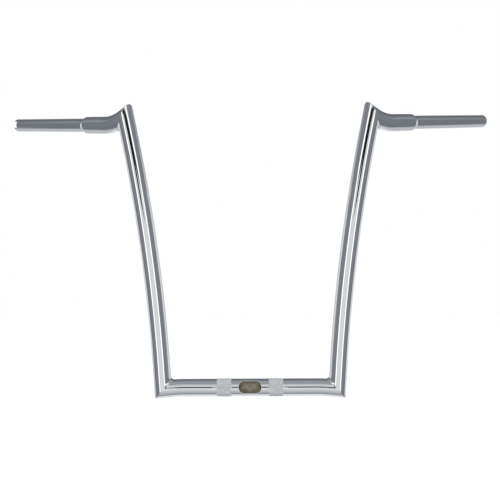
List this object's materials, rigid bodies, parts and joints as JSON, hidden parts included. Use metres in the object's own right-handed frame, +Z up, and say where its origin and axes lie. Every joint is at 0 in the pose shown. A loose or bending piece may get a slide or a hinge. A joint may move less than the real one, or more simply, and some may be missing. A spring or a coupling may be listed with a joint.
{
  "type": "ape hanger handlebar",
  "caption": "Tall chromed motorbike handlebar with mitred pointed corners, knurled clamp zone, wiring slot and swept-back one inch grip ends.",
  "frame": {"origin": "on the axis of the base tube, midway between the two knurled clamping bands", "axes": "+X along the base tube towards the clutch side, +Y back towards the rider, +Z up along the rise of the bar"},
  "size_m": [0.9965, 0.2259, 0.5497],
  "materials": {
    "handlebar": "polished chrome plate over ground steel tube, bare metal inside the bore"
  },
  "bodies": {
    "root": {"handlebar": "handlebar"}
  },
  "joints": []
}
